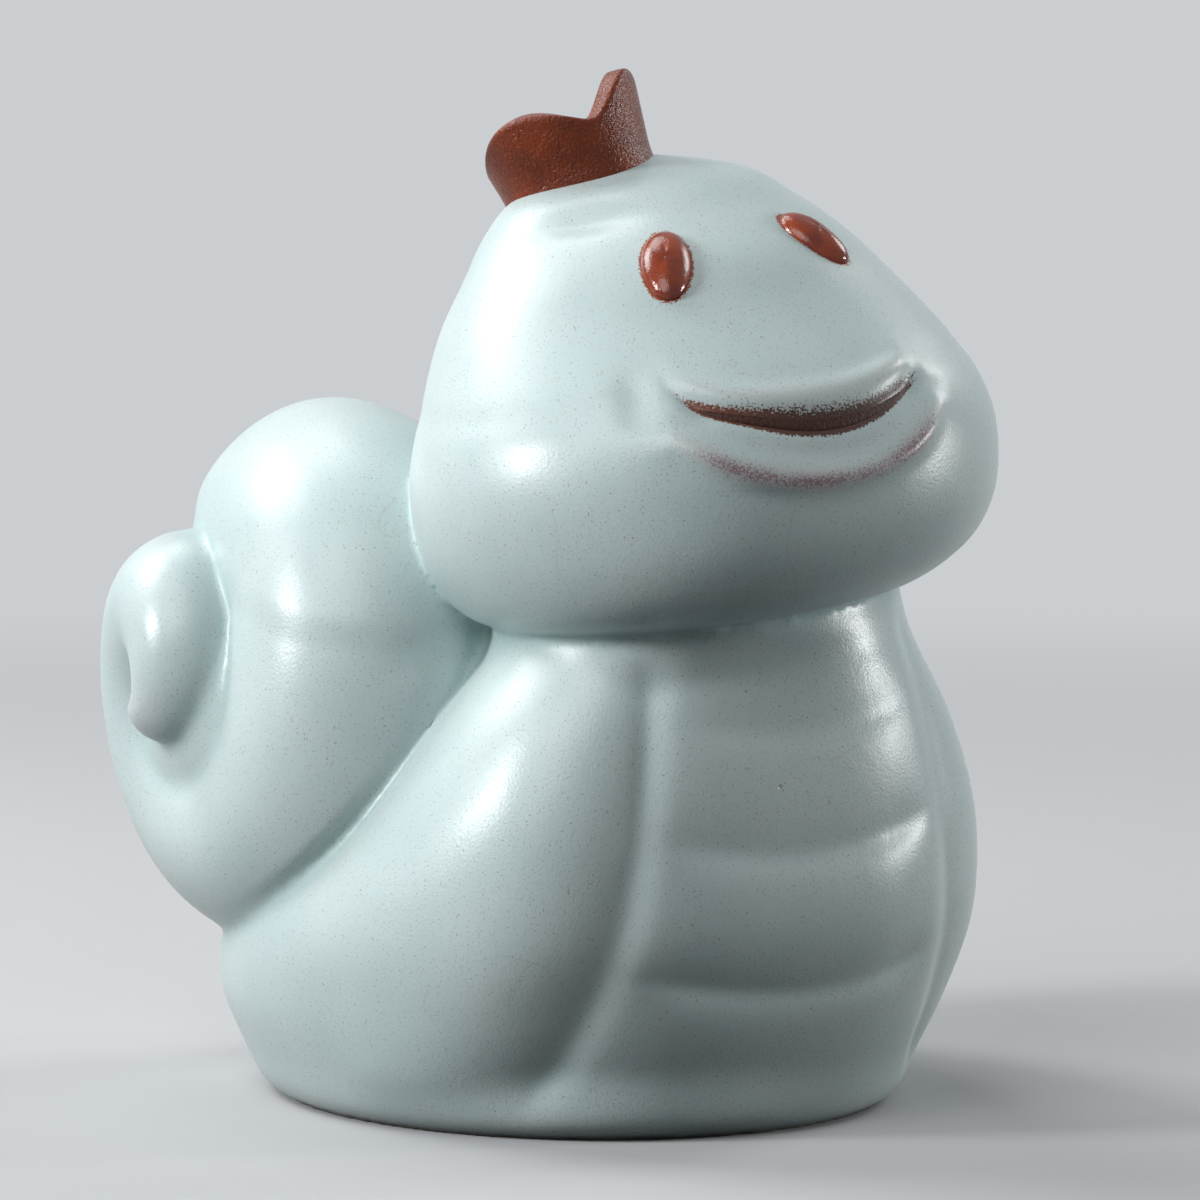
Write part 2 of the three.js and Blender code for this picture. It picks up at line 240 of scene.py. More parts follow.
def row_values(rows, level):
    """The values of outline rows at levels from 0 to 1, on a smooth curve through the rows."""
    table = np.array(rows, float)
    spot = np.clip(level, 0, 1) * (len(table) - 1)
    first = np.minimum(spot.astype(int), len(table) - 2)
    p = (spot - first)[:, None]
    ends = np.vstack([table[1], table, table[-2]])
    a, b, c, d = (ends[first + k] for k in range(4))
    return b + 0.5 * p * (c - a + p * (2 * a - 5 * b + 4 * c - d + p * (3 * (b - c) + d - a)))


def stacked_points(rows, size, level, angle):
    """Points of a form of stacked level sections. Angle 0 is the front."""
    rise, rear, fore, side, narrowing = row_values(rows, level).T
    rear = rear * np.where(rear < 0, size["back"], size["front"])
    fore = fore * np.where(fore < 0, size["back"], size["front"])
    x = side * size["width"] / 2 * np.sin(angle) * (1 - narrowing * (1 - np.cos(angle)) / 2)
    y = -(fore + rear) / 2 - (fore - rear) / 2 * np.cos(angle)
    return np.stack([x, y, np.maximum(0, rise) * size["height"]], -1)


def smaller(size, wall):
    return {
        "height": size["height"] - 2 * wall,
        "width": size["width"] - 2 * wall,
        "front": size["front"] - wall,
        "back": size["back"] - wall,
    }


HEAD_AXES = np.array(
    Matrix.Rotation(-HEAD_TURN, 3, "Z") @ Matrix.Rotation(-HEAD_LEAN, 3, "Y")
)


def head_to_world(points):
    return points @ HEAD_AXES.T + HEAD_SPOT


def world_to_head(points):
    return (points - HEAD_SPOT) @ HEAD_AXES


def head_points(level, angle):
    return head_to_world(stacked_points(HEAD_ROWS, HEAD_SIZE, level, angle))


def head_seat(level, angle):
    """Point, along, up and outward directions on the head."""
    step = 0.01
    levels = np.array([level, level, level, level + step, level - step])
    angles = np.array([angle, angle + step, angle - step, angle, angle])
    centre, left, right, high, low = head_points(levels, angles)
    along = (left - right) / np.linalg.norm(left - right)
    outward = np.cross(along, high - low)
    outward /= np.linalg.norm(outward)
    return centre, along, np.cross(outward, along), outward


def mouth_level(share):
    return MOUTH_LEVEL + MOUTH_RISE * share ** 2 + MOUTH_TILT * share


def eye_axes(side):
    """Middle, cross, long and outward directions of an eye: side 1 is the snake's left and -1 its right."""
    centre, along, up, outward = head_seat(EYE_LEVEL, EYE_TURN + side * EYE_ANGLE)
    roll = side * EYE_ROLL
    cross = math.cos(roll) * along + math.sin(roll) * up
    return centre, cross, np.cross(outward, cross), outward


COIL_AXIS = np.array([
    -math.cos(COIL_YAW) * math.cos(COIL_PITCH),
    math.sin(COIL_YAW) * math.cos(COIL_PITCH),
    math.sin(COIL_PITCH),
])
COIL_BACK = np.array([math.sin(COIL_YAW), math.cos(COIL_YAW), 0])
COIL_UP = np.array([0, 0, 1])


def coil_points(level, angle, grow=0):
    """Points of the tail's roll: level runs along it and angle runs round it."""
    turned = COIL_START + (COIL_END - COIL_START) * level
    growth = np.where(turned > COIL_FULL, COIL_GROWTH, COIL_START_GROWTH)
    share = growth ** ((COIL_FULL - turned) / 360)
    left = np.clip((COIL_END - turned) / COIL_TIP, 0, 1)
    begun = np.clip(level / 0.03, 0, 1)
    slim = ramp(turned, COIL_SLIM_START, COIL_SLIM_END)
    radius = COIL_TUBE_RADIUS * share * (1 - COIL_SLIMMING * slim) * np.sqrt(left * (2 - left))
    radius = radius * np.sqrt(begun * (2 - begun)) + grow * np.sqrt(np.clip(left * 12, 0, 1))
    reach = COIL_RING_RADIUS * share * (1 - COIL_SLIM_DRAW * slim)
    root = np.maximum(0, (COIL_FULL - turned) / (COIL_FULL - COIL_START))
    climb = COIL_SPIRE * np.maximum(0, 1 - share) - COIL_ROOT_SHIFT * root ** 2
    bearing = np.radians(turned)
    outward = np.cos(bearing)[:, None] * COIL_BACK + np.sin(bearing)[:, None] * COIL_UP
    centre = COIL_CENTRE + reach[:, None] * outward + climb[:, None] * COIL_AXIS
    away = (radius * np.cos(angle))[:, None] * outward
    return centre + away + (radius * np.sin(angle))[:, None] * COIL_AXIS


def moulded(columns, rings, place):
    """A closed ball of clay whose skin is moved to the points that place gives for level and angle."""
    ball = bmesh.new()
    bmesh.ops.create_uvsphere(ball, u_segments=columns, v_segments=rings, radius=1)
    spots = np.array([v.co for v in ball.verts])
    level = 1 - np.arccos(np.clip(spots[:, 2], -1, 1)) / math.pi
    angle = np.arctan2(spots[:, 0], -spots[:, 1])
    for v, point in zip(ball.verts, (place(level, angle) + AXIS) * MM):
        v.co = point
    if ball.calc_volume(signed=True) < 0:
        bmesh.ops.reverse_faces(ball, faces=ball.faces[:])
    ball.normal_update()
    return ball


def grown(ball, distance):
    for v, move in zip(ball.verts, [v.normal * distance * MM for v in ball.verts]):
        v.co += move
    ball.normal_update()
    return ball


def body_ball(grow=0):
    return grown(moulded(120, 90, lambda l, a: stacked_points(BODY_ROWS, BODY_SIZE, l, a)), grow)


def head_ball(grow=0):
    return grown(moulded(110, 80, head_points), grow)


def coil_ball(grow=0):
    return moulded(64, 420, lambda l, a: coil_points(l, a, grow))


def filling_ball(radius, depth, climb, grow):
    """A flattened ball that fills the middle of the coil."""
    size = np.array([radius, radius, depth]) + grow

    def place(level, angle):
        lean = level * math.pi
        flat = np.stack([np.sin(lean) * np.sin(angle), -np.sin(lean) * np.cos(angle), -np.cos(lean)], -1)
        return COIL_CENTRE + climb * COIL_AXIS + flat * size @ np.array([COIL_UP, COIL_BACK, COIL_AXIS])

    return moulded(48, 32, place)


def coil_balls(grow=0):
    return (
        coil_ball(grow),
        filling_ball(COIL_CORE_RADIUS, COIL_CORE_DEPTH, 0, grow),
        filling_ball(COIL_DISC_RADIUS, COIL_DISC_DEPTH, COIL_DISC_CLIMB, grow),
    )


# Mesh handling

def mesh_of(name, *balls):
    """One mesh from one or more bmeshes, which are freed."""
    whole = bmesh.new()
    for ball in balls:
        part = bpy.data.meshes.new("part")
        ball.to_mesh(part)
        ball.free()
        whole.from_mesh(part)
        bpy.data.meshes.remove(part)
    mesh = bpy.data.meshes.new(name)
    whole.to_mesh(mesh)
    whole.free()
    return mesh


def settled(mesh, *settings, soft=()):
    """A mesh with modifiers applied. Each setting is a modifier type with its values."""
    holder = bpy.data.objects.new("holder", mesh)
    bpy.context.scene.collection.objects.link(holder)
    group = holder.vertex_groups.new(name="soft")
    for i, weight in enumerate(soft):
        group.add([i], weight, "REPLACE")
    for kind, values in settings:
        modifier = holder.modifiers.new(kind, kind)
        for key, value in values.items():
            setattr(modifier, key, value)
    depsgraph = bpy.context.evaluated_depsgraph_get()
    result = bpy.data.meshes.new_from_object(holder.evaluated_get(depsgraph), depsgraph=depsgraph)
    bpy.data.objects.remove(holder)
    bpy.data.meshes.remove(mesh)
    return result


def cut(mesh, tool, operation):
    """Cuts, keeps or joins a closed mesh with a closed tool. The tool is left for further cuts."""
    tool_holder = bpy.data.objects.new("tool", tool)
    bpy.context.scene.collection.objects.link(tool_holder)
    result = settled(
        mesh,
        ("BOOLEAN", {"object": tool_holder, "operation": operation, "solver": "MANIFOLD"}),
    )
    bpy.data.objects.remove(tool_holder)
    return result


def points_of(mesh):
    flat = np.empty(len(mesh.vertices) * 3, np.float32)
    mesh.vertices.foreach_get("co", flat)
    return flat.reshape(-1, 3).astype(float)


def normals_of(mesh):
    flat = np.empty(len(mesh.vertices) * 3, np.float32)
    mesh.vertex_normals.foreach_get("vector", flat)
    return flat.reshape(-1, 3).astype(float)


def move_points(mesh, points):
    mesh.vertices.foreach_set("co", points.astype(np.float32).ravel())
    mesh.update()


def neighbour_mean(mesh, values, passes):
    """Values at the mesh's points, averaged with their neighbours."""
    edges = np.empty(len(mesh.edges) * 2, np.int32)
    mesh.edges.foreach_get("vertices", edges)
    a, b = edges.reshape(-1, 2).T
    count = np.bincount(a, minlength=len(values)) + np.bincount(b, minlength=len(values))
    columns = values.reshape(len(values), -1).astype(float)
    for _ in range(passes):
        mixed = np.empty_like(columns)
        for k in range(columns.shape[1]):
            total = np.bincount(a, columns[b, k], len(values)) + np.bincount(b, columns[a, k], len(values))
            mixed[:, k] = total / np.maximum(count, 1)
        columns = (columns + mixed) / 2
    return columns.reshape(values.shape)


def distance_to(ball, points):
    """Distance in millimetres from points in metres to the skin of a form, which is freed."""
    tree = BVHTree.FromBMesh(ball)
    ball.free()
    return np.array([tree.find_nearest(p)[3] for p in points]) / MM


# The joined clay skin

skin = settled(
    mesh_of("skin", body_ball(), head_ball(), *coil_balls()),
    ("REMESH", {"mode": "VOXEL", "voxel_size": SKIN_GRAIN * MM, "adaptivity": 0}),
    ("SMOOTH", {"factor": 0.5, "iterations": SKIN_PASSES}),
)

# Creases where the forms meet, filled with slip and wiped round
wiped = settled(skin.copy(), ("SMOOTH", {"factor": 0.5, "iterations": WIPE_PASSES}))
points = points_of(skin)
hollowness = ((points_of(wiped) - points) * normals_of(skin)).sum(1) / MM
bpy.data.meshes.remove(wiped)
softness = np.clip(3 * neighbour_mean(skin, ramp(hollowness, 0.03, 0.25), 50), 0, 1)
from_body = distance_to(body_ball(), points)
from_head = distance_to(head_ball(), points)
softness = np.maximum(softness, HEAD_SOFTNESS * ramp(from_body - from_head, 0, 3))
for place, reach in CRISP_PLACES:
    away = np.linalg.norm(points / MM - AXIS - place, axis=1)
    softness = softness * (1 - hump(away, 0, reach))
skin = settled(
    skin,
    ("SMOOTH", {"factor": 0.5, "iterations": CREASE_PASSES, "vertex_group": "soft"}),
    soft=softness,
)

points = points_of(skin)
spots = points / MM - AXIS
in_neck = hump(from_body - from_head, 0, 8) * hump(from_body, 0, 6)
filled = 0.8 * in_neck * ramp(-spots[:, 1], -2, 8)
for place, reach in FILLED_PLACES:
    filled = np.maximum(filled, hump(np.linalg.norm(spots - place, axis=1), 0, reach))
skin = settled(
    skin,
    ("SMOOTH", {"factor": 0.5, "iterations": FILLED_PASSES, "vertex_group": "soft"}),
    soft=filled,
)

points = points_of(skin)
spots = points / MM - AXIS

# Belly: the flanks roll in to a crease at each side of the panel, and lapped scutes cross it
belly_edge = BELLY_HALF_FOOT + (BELLY_HALF_TOP - BELLY_HALF_FOOT) * spots[:, 2] / BODY_SIZE["height"]
beyond = np.abs(spots[:, 0]) - belly_edge
panel = ramp(-beyond, -0.3, 2.5)
inside = ramp(-beyond, 0, 7)
deeper_side = 1 - 0.5 * ramp(spots[:, 0], -5, 8)
rolled = np.where(beyond > 0, np.exp(-np.maximum(beyond, 0) / FLANK_ROLL), 1)
on_belly = ramp(-spots[:, 1], 2, 8) * ramp(from_head - from_body, 0.5, 4) * ramp(spots[:, 2], 0.5, 5)
relief = deeper_side * (BELLY_RIDGE * hump(beyond, 6, 3.5) - BELLY_STEP * rolled) + BELLY_LIFT * panel
across = (spots[:, 0] - SCUTE_LOW_SIDE) / SCUTE_HALF_SPAN
for height, depth in zip(SCUTE_HEIGHTS, SCUTE_DEPTHS):
    above = spots[:, 2] - height - SCUTE_RISE * across ** 2
    upper_edge = np.exp(-np.maximum(above, 0) / SCUTE_ABOVE)
    lower_edge = np.exp(np.minimum(above, 0) / SCUTE_BELOW)
    lap = np.where(above > 0, upper_edge, lower_edge)
    relief = relief - depth * inside * lap
relief = neighbour_mean(skin, relief * on_belly, 12)

# Coil: its underside hangs lower beside the body
under_coil = hump(np.linalg.norm(spots - COIL_SAG_PLACE, axis=1), 0, COIL_SAG_REACH) * ramp(from_body, 0.3, 2)
relief = relief + COIL_SAG * under_coil

# Face: where each point lies on the head's own level lines
head_spots = world_to_head(spots)
fine_level = np.linspace(0, 1, 800)
fine_rise = np.maximum.accumulate(row_values(HEAD_ROWS, fine_level)[:, 0])
head_level = np.interp(head_spots[:, 2] / HEAD_SIZE["height"], fine_rise, fine_level)
_, rear_share, fore_share, side_share, _ = row_values(HEAD_ROWS, head_level).T
rear = rear_share * np.where(rear_share < 0, HEAD_SIZE["back"], HEAD_SIZE["front"])
fore = fore_share * np.where(fore_share < 0, HEAD_SIZE["back"], HEAD_SIZE["front"])
head_angle = np.arctan2(
    head_spots[:, 0] / np.maximum(1, side_share * HEAD_SIZE["width"] / 2),
    -(head_spots[:, 1] + (fore + rear) / 2) / np.maximum(1, (fore - rear) / 2),
)
level_step = 0.01
higher = head_points(head_level + level_step, head_angle)
lower = head_points(head_level - level_step, head_angle)
slope = np.linalg.norm(higher - lower, axis=1) / (2 * level_step)
on_face = ramp(from_body - from_head, 0.5, 3) * (np.abs(head_angle) < 1.4)

# Lips round the mouth line
mouth_share = (head_angle - MOUTH_TURN) / MOUTH_HALF_ANGLE
over_mouth = (head_level - mouth_level(np.clip(mouth_share, -1.05, 1.05))) * slope
lip_drop = LOWER_LIP_DROP - LOWER_LIP_SLANT * np.clip(mouth_share, -1.4, 1.4)
in_mouth = on_face * ramp(1.1 - np.abs(mouth_share), 0, 0.3)
in_lips = on_face * ramp(1.3 - np.abs(mouth_share), 0, 0.55)
upper_lip = UPPER_LIP_PROUD + UPPER_LIP_CORNER * hump(mouth_share, 0.75, 0.35)
relief = relief + HEAD_SWELL * ramp(from_body - from_head, 0, 3)
mouth_groove = MOUTH_GROOVE_DEPTH * hump(over_mouth, -0.1, 0.95)
relief = relief + in_mouth * (upper_lip * hump(over_mouth, 2, 2) - mouth_groove)
lip_hollow = LIP_HOLLOW_DEPTH * hump(over_mouth, -1.8, 1.4)
relief = relief + in_lips * (LOWER_LIP_PROUD * hump(over_mouth, -lip_drop, 1.3) - lip_hollow)
dimple = hump(mouth_share, -1.27, 0.15) * hump(over_mouth, -1, 2.2)
relief = relief - MOUTH_DIMPLE_DEPTH * on_face * dimple

# Jaw drawn in on the snake's left, towards the neck
over_jaw = (head_level - JAW_LEVEL) * slope
on_jaw = ramp(from_body - from_head, -1, 2) * hump(np.degrees(head_angle), JAW_ANGLE, JAW_SPREAD)
relief = relief - JAW_DRAW * on_jaw * hump(over_jaw, 0, JAW_HEIGHT)

# Brow dent below the foot of the crown
over_brow = (head_level - BROW_LEVEL) * slope
on_brow = hump(np.degrees(head_angle), BROW_ANGLE, BROW_SPREAD)
relief = relief - BROW_DEPTH * hump(over_brow, 0, BROW_HEIGHT) * on_brow

# Cheeks rounded where the face starts to slope back
over_cheek = (head_level - CHEEK_LEVEL) * slope
on_cheek = ramp(from_body - from_head, 0.5, 3) * ramp(np.abs(np.degrees(head_angle)), *CHEEK_ANGLES)
relief = relief - CHEEK_DEPTH * on_cheek * hump(over_cheek, 0, CHEEK_HEIGHT)

points = points + normals_of(skin) * relief[:, None] * MM
points[:, 2] = np.where(points[:, 2] < FOOT_LEVELLING * MM, 0, points[:, 2])
move_points(skin, points)


def eye_nearness(side):
    """1 at the middle of an eye's place on the skin and 0 at its edge, below 0 beyond it."""
    centre, along, up, outward = eye_axes(side)
    local = (spots - centre) @ np.stack([along, up, outward], -1)
    far = np.hypot(local[:, 0] * 2 / EYE_WIDTH, local[:, 1] * 2 / EYE_HEIGHT[side])
    return np.where(np.abs(local[:, 2]) < 3, 1 - far, -1)


# Where the glaze pools in creases and runs thin on ridges, where the brown slip has strayed, and where the
# mouth line's slip and its painted shade go
skin_normals = normals_of(skin)
flattened = neighbour_mean(skin, points, 74)
proud = ((points - flattened) * skin_normals).sum(1) / MM
traces = {
    "glaze_thin": neighbour_mean(skin, proud, 7),
    "mouth_trace": in_mouth * ramp(1.06 - np.abs(mouth_share), 0, 0.2),
    "mouth_over": over_mouth / np.clip(1 - 0.7 * mouth_share ** 2, 0.3, 1),
    "mouth_left": ramp(-mouth_share, 0, 1),
    "lip_trace": in_lips * hump(over_mouth, -lip_drop, 0.8) * ramp(1.25 - np.abs(mouth_share), 0, 0.6),
    "eye_trace": np.maximum(eye_nearness(1), eye_nearness(-1)),
}

skin_tree = KDTree(len(points))
for i, p in enumerate(points):
    skin_tree.insert(p, i)
skin_tree.balance()

# Separate closed pieces, parted in the creases

body_plug = mesh_of("body_plug", body_ball(-SEAM_DEPTH))
head_region = cut(mesh_of("head_region", head_ball(SEAM_REACH)), body_plug, "DIFFERENCE")
coil_region = settled(
    mesh_of("coil_region", *coil_balls(SEAM_REACH)),
    ("REMESH", {"mode": "VOXEL", "voxel_size": SEAM_GRAIN * MM, "adaptivity": 0}),
)
coil_region = cut(coil_region, body_plug, "DIFFERENCE")

head_mesh = cut(skin.copy(), head_region, "INTERSECT")
rest_mesh = cut(skin.copy(), head_region, "DIFFERENCE")
coil_mesh = cut(rest_mesh.copy(), coil_region, "INTERSECT")
body_mesh = cut(rest_mesh, coil_region, "DIFFERENCE")


def upright_round(radius, x, y, low, high):
    rod = bmesh.new()
    bmesh.ops.create_cone(
        rod, cap_ends=True, segments=96, radius1=radius * MM, radius2=radius * MM, depth=(high - low) * MM,
    )
    middle = Vector((np.array([x, y, (low + high) / 2]) + AXIS) * MM)
    bmesh.ops.translate(rod, verts=rod.verts[:], vec=middle)
    return mesh_of("rod", rod)


def hollow_ball(rows, size, to_world):
    inner = smaller(size, WALL)
    lift = np.array([0, 0, WALL])
    return moulded(80, 60, lambda l, a: to_world(stacked_points(rows, inner, l, a) + lift))


body_hollow = mesh_of("body_hollow", hollow_ball(BODY_ROWS, BODY_SIZE, lambda p: p))
head_hollow = mesh_of("head_hollow", hollow_ball(HEAD_ROWS, HEAD_SIZE, head_to_world))
drain = upright_round(DRAIN_RADIUS, 0, 0, -WALL, 2 * WALL)
neck_bore = upright_round(NECK_BORE_RADIUS, HEAD_SPOT[0], HEAD_SPOT[1], 33, 49)
for tool in (body_hollow, drain, neck_bore):
    body_mesh = cut(body_mesh, tool, "DIFFERENCE")
for tool in (head_hollow, neck_bore):
    head_mesh = cut(head_mesh, tool, "DIFFERENCE")


def largest_body(mesh):
    """Drops the crumbs that a cut leaves beside the largest closed body."""
    clay = bmesh.new()
    clay.from_mesh(mesh)
    seen = set()
    bodies = []
    for start in clay.verts:
        if start in seen:
            continue
        seen.add(start)
        body = [start]
        for v in body:
            for edge in v.link_edges:
                other = edge.other_vert(v)
                if other not in seen:
                    seen.add(other)
                    body.append(other)
        bodies.append(body)
    largest = max(bodies, key=len)
    crumbs = [v for body in bodies if body is not largest for v in body]
    bmesh.ops.delete(clay, geom=crumbs, context="VERTS")
    clay.to_mesh(mesh)
    clay.free()
    return mesh


def glazed_piece(name, mesh, node):
    """A piece of the glazed skin with the skin's own normals and glaze attributes."""
    mesh = largest_body(mesh)
    mesh.name = name
    where = points_of(mesh)
    normals = normals_of(mesh)
    found = [skin_tree.find(p) for p in where]
    nearest = np.array([index for _, index, _ in found])
    glazed = np.array([away for _, _, away in found]) < SKIN_GRAIN * MM
    normals[glazed] = skin_normals[nearest[glazed]]
    layers = {label: values[nearest] for label, values in traces.items()}
    layers["bare_clay"] = np.where(glazed & (where[:, 2] > 0.05 * MM), 0, 1)
    for label, values in layers.items():
        layer = mesh.attributes.new(label, "FLOAT", "POINT")
        layer.data.foreach_set("value", values.astype(np.float32))
    mesh.polygons.foreach_set("use_smooth", np.ones(len(mesh.polygons), bool))
    mesh.normals_split_custom_set_from_vertices(normals.tolist())
    piece = bpy.data.objects.new(name, mesh)
    bpy.context.scene.collection.objects.link(piece)
    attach(piece, "root")
    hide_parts(node)
    return piece


body = glazed_piece("glazed_body", body_mesh, "body_shell")
head = glazed_piece("glazed_head", head_mesh, "head_shell")
coil = glazed_piece("glazed_coil", coil_mesh, "tail_coil")


# Crown, eyes and mouth

def to_frame(axes, centre, local):
    return (centre + local @ np.array(axes) + AXIS) * MM


def brown_piece(name, mesh, node):
    mesh.name = name
    mesh.polygons.foreach_set("use_smooth", np.ones(len(mesh.polygons), bool))
    piece = bpy.data.objects.new(name, mesh)
    bpy.context.scene.collection.objects.link(piece)
    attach(piece, "root")
    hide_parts(node)
    return piece


crown_centre, crown_along, crown_up, crown_out = head_seat(CROWN_LEVEL, CROWN_ANGLE)


def crown_top(turned):
    """Height of the crown's rim above its seat at bearings round it."""
    top = np.full(turned.shape, float(CROWN_VALLEY))
    crown_points = zip(CROWN_PEAKS, CROWN_BEARINGS, CROWN_HALF_WIDTHS, CROWN_SHARPNESS)
    for peak, bearing, half, sharpness in crown_points:
        away = np.abs(np.mod(np.degrees(turned) - bearing + 180, 360) - 180)
        wave = (1 + np.cos(math.pi * np.minimum(1, away / half))) / 2
        top = top + (peak - CROWN_VALLEY) * wave ** sharpness
    return top


def crown_mesh():
    band = bmesh.new()
    ring = bmesh.ops.create_circle(band, segments=120, radius=1, cap_ends=False)["verts"]
    steps = 12
    rows = [ring]
    edges = list(band.edges)
    for _ in range(steps):
        made = bmesh.ops.extrude_edge_only(band, edges=edges)["geom"]
        edges = [g for g in made if isinstance(g, bmesh.types.BMEdge)]
        rows.append([g for g in made if isinstance(g, bmesh.types.BMVert)])
        edges = [e for e in edges if all(v in set(rows[-1]) for v in e.verts)]
    middle = CROWN_RADIUS - CROWN_WALL / 2
    for k, row in enumerate(rows):
        bearing = np.arctan2([v.co.y for v in row], [v.co.x for v in row])
        height = -CROWN_FOOT + (crown_top(bearing) + CROWN_FOOT) * k / steps
        radius = middle + CROWN_FLARE * np.maximum(0, height)
        local = np.stack([radius * np.cos(bearing), radius * np.sin(bearing), height], -1)
        for v, point in zip(row, to_frame((crown_along, crown_up, crown_out), crown_centre, local)):
            v.co = point
    bmesh.ops.recalc_face_normals(band, faces=band.faces[:])
    edge = {"width": CROWN_EDGE * MM, "segments": 3, "limit_method": "ANGLE", "angle_limit": CROWN_EDGE_ANGLE}
    return settled(
        mesh_of("crown", band),
        ("SOLIDIFY", {"thickness": CROWN_WALL * MM, "offset": 0, "use_even_offset": True}),
        ("BEVEL", edge),
        ("SUBSURF", {"levels": 1, "render_levels": 1}),
    )


def eye_mesh(side):
    centre, along, up, outward = eye_axes(side)
    half = np.array([EYE_WIDTH, EYE_HEIGHT[side], EYE_DEPTH]) / 2

    def place(level, around):
        lean = level * math.pi
        ball = np.stack([np.sin(lean) * np.sin(around), -np.sin(lean) * np.cos(around), -np.cos(lean)], -1)
        ball = ball * half * (1 + 0.02 * np.sin(3 * around + 1))[:, None]
        return centre + ball @ np.array([along, up, outward])

    return mesh_of("eye", moulded(48, 32, place))


def mouth_mesh():
    def place(level, around):
        share = 2 * level - 1
        spots = []
        for s, turn in zip(share, around):
            centre, _, up, outward = head_seat(mouth_level(s), MOUTH_TURN + s * MOUTH_HALF_ANGLE)
            radius = MOUTH_ROLL_RADIUS * max(0, 1 - s * s) ** MOUTH_ROLL_TAPER
            across = math.cos(turn) * up + MOUTH_ROLL_FLATNESS * math.sin(turn) * outward
            spots.append(centre - MOUTH_ROLL_DEPTH * outward + radius * across)
        return np.array(spots)

    return mesh_of("mouth", moulded(20, 90, place))


head_plug = mesh_of("head_plug", head_ball(-CROWN_SEAT_DEPTH))
crown = brown_piece("clay_crown", cut(crown_mesh(), head_plug, "DIFFERENCE"), "crown")
eye_left = brown_piece("bead_eye_left", eye_mesh(1), "eye_left")
eye_right = brown_piece("bead_eye_right", eye_mesh(-1), "eye_right")
mouth = brown_piece("slip_mouth", mouth_mesh(), "mouth_line")
# The mouth roll is coloured darker than the crown's slip. This is brown slip, partly painted shade of the
# crease it lies in.
darker_slip_and_shade = mouth.data.attributes.new("darker_slip_and_shade", "FLOAT", "POINT")
darker_slip_and_shade.data.foreach_set("value", np.ones(len(mouth.data.vertices), np.float32))


# Finishes

def srgb(red, green, blue):
    def linear(value):
        value /= 255
        return value / 12.92 if value <= 0.04045 else ((value + 0.055) / 1.055) ** 2.4

    return (linear(red), linear(green), linear(blue), 1)


class Finish:
    """A node material with short calls for its nodes."""

    def __init__(self, name):
        self.material = bpy.data.materials.new(name)
        self.material.use_nodes = True
        self.nodes = self.material.node_tree.nodes
        self.links = self.material.node_tree.links
        self.shader = self.nodes["Principled BSDF"]
        self.place = self.add("ShaderNodeTexCoord").outputs["Object"]

    def add(self, kind, **settings):
        node = self.nodes.new(kind)
        for key, value in settings.items():
            setattr(node, key, value)
        return node

    def feed(self, socket, value):
        if isinstance(value, bpy.types.NodeSocket):
            self.links.new(value, socket)
        else:
            socket.default_value = value

    def noise(self, scale, detail=3, roughness=0.5):
        node = self.add("ShaderNodeTexNoise")
        self.feed(node.inputs["Vector"], self.place)
        node.inputs["Scale"].default_value = scale
        node.inputs["Detail"].default_value = detail
        node.inputs["Roughness"].default_value = roughness
        return node.outputs["Fac"]

    def cells(self, scale, feature="F1", bend=0):
        """Cells whose edges are bent by up to a share of a metre."""
        sway = self.add("ShaderNodeTexNoise")
        self.feed(sway.inputs["Vector"], self.place)
        sway.inputs["Scale"].default_value = 60
        moved = self.add("ShaderNodeVectorMath", operation="MULTIPLY_ADD")
        self.feed(moved.inputs[0], sway.outputs["Color"])
        moved.inputs[1].default_value = (bend, bend, bend)
        self.feed(moved.inputs[2], self.place)
        node = self.add("ShaderNodeTexVoronoi", feature=feature)
        self.feed(node.inputs["Vector"], moved.outputs["Vector"])
        node.inputs["Scale"].default_value = scale
        return node

    def attribute(self, name):
        return self.add("ShaderNodeAttribute", attribute_name=name).outputs["Fac"]

    def spread(self, value, low, high, to_low=0, to_high=1):
        node = self.add("ShaderNodeMapRange", interpolation_type="SMOOTHSTEP")
        self.feed(node.inputs["Value"], value)
        for key, number in (("From Min", low), ("From Max", high), ("To Min", to_low), ("To Max", to_high)):
            node.inputs[key].default_value = number
        return node.outputs["Result"]

    def sum(self, operation, first, second):
        node = self.add("ShaderNodeMath", operation=operation)
        self.feed(node.inputs[0], first)
        self.feed(node.inputs[1], second)
        return node.outputs[0]

    def blend(self, share, first, second):
        node = self.add("ShaderNodeMix", data_type="RGBA")
        self.feed(node.inputs[0], share)
        self.feed(node.inputs[6], first)
        self.feed(node.inputs[7], second)
        return node.outputs[2]

    def bump(self, height, strength, distance, before=None):
        node = self.add("ShaderNodeBump")
        node.inputs["Strength"].default_value = strength
        node.inputs["Distance"].default_value = distance
        self.feed(node.inputs["Height"], height)
        if before is not None:
            self.feed(node.inputs["Normal"], before)
        return node.outputs["Normal"]


